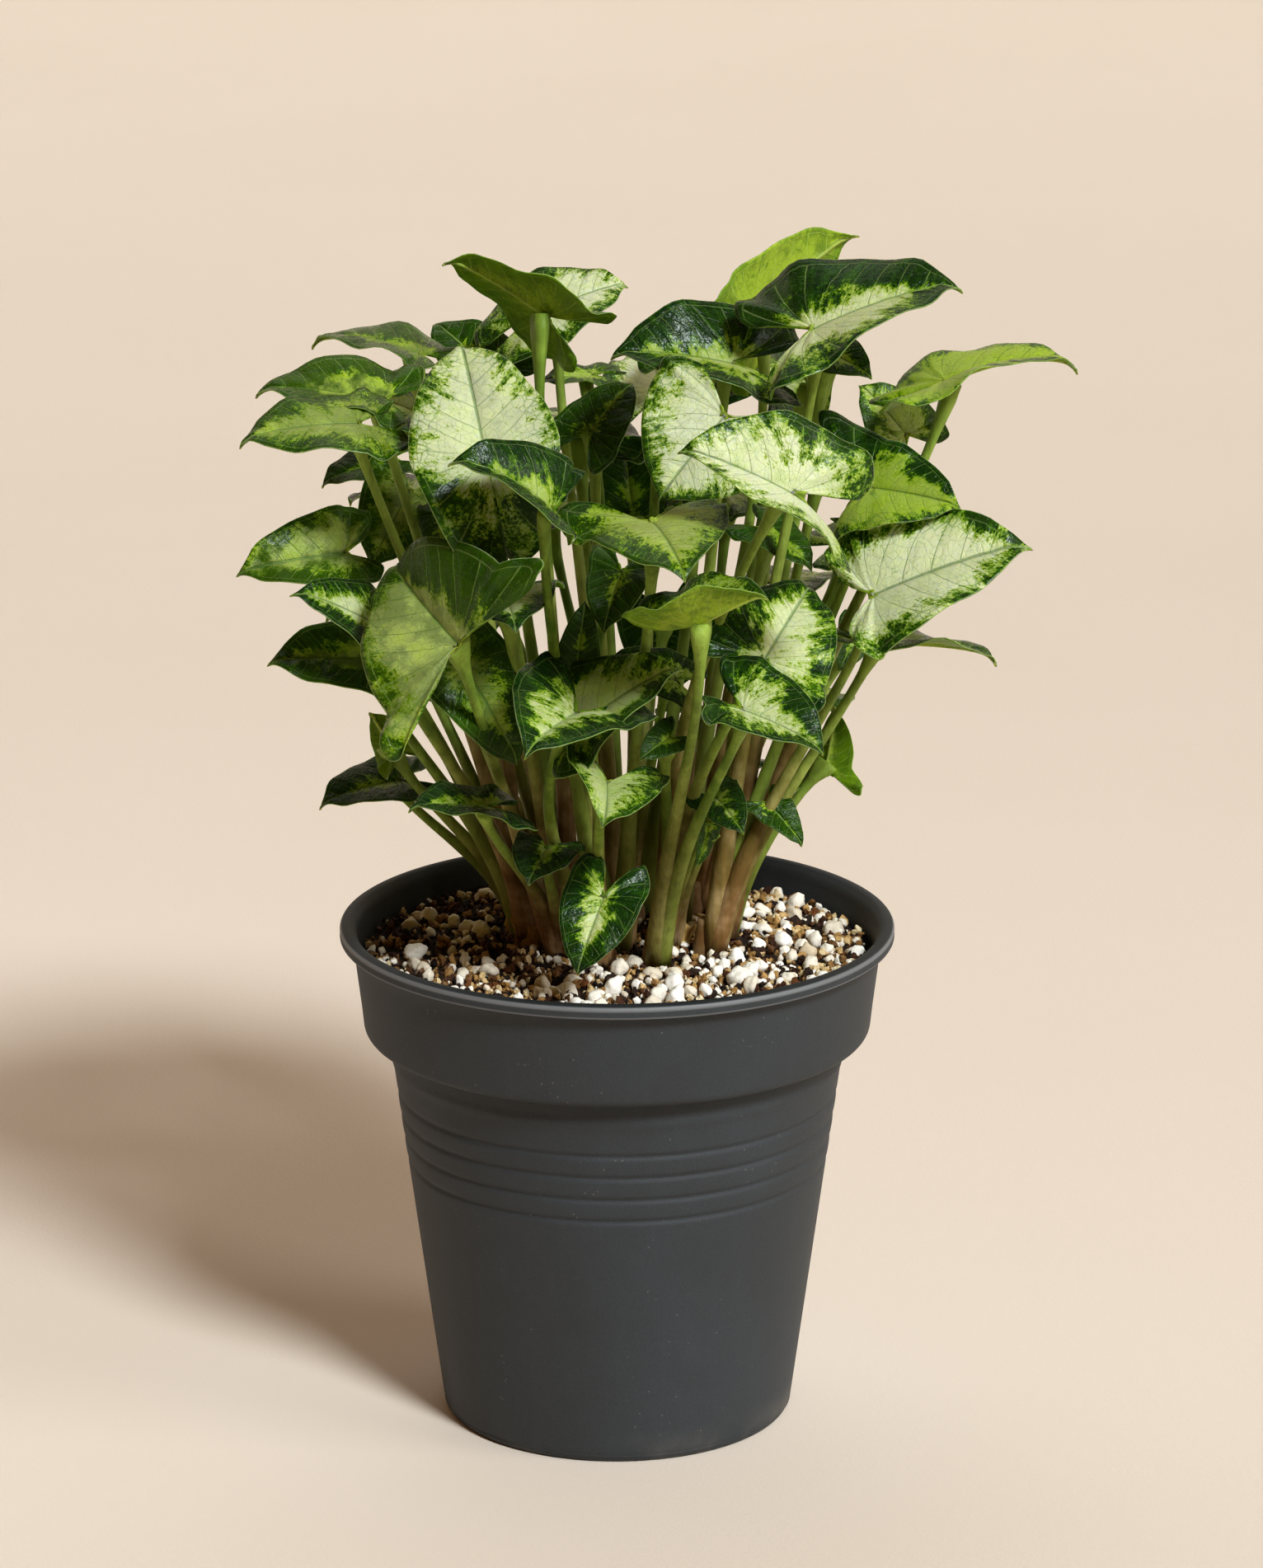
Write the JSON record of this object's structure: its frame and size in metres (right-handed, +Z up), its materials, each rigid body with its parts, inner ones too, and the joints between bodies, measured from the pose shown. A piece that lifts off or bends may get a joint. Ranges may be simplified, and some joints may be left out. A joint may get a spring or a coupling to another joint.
{
  "type": "potted arrowhead plant",
  "caption": "Potted arrowhead plant: a bushy tuft of arrow-shaped, cream-splashed green leaves on slim stalks, in a round dark nursery pot with a stepped collar.",
  "frame": {"origin": "middle of the pot's flat underside", "axes": "+Z up along the pot's axis; -Y towards the plant's front, +X to the right of someone looking at the front"},
  "size_m": [0.193, 0.175, 0.2797],
  "materials": {
    "pot": "matte, fine grain",
    "soil": "rough, moist potting mix with white grains",
    "foliage": "satin leaf with a waxy gloss"
  },
  "bodies": {
    "root": {"pot": "pot", "soil": "soil", "shoot_01": "foliage", "shoot_02": "foliage", "shoot_03": "foliage", "shoot_04": "foliage", "shoot_05": "foliage", "shoot_06": "foliage", "shoot_07": "foliage", "shoot_08": "foliage", "shoot_09": "foliage", "shoot_10": "foliage", "shoot_11": "foliage", "shoot_12": "foliage", "shoot_13": "foliage", "shoot_14": "foliage", "shoot_15": "foliage"}
  },
  "joints": []
}
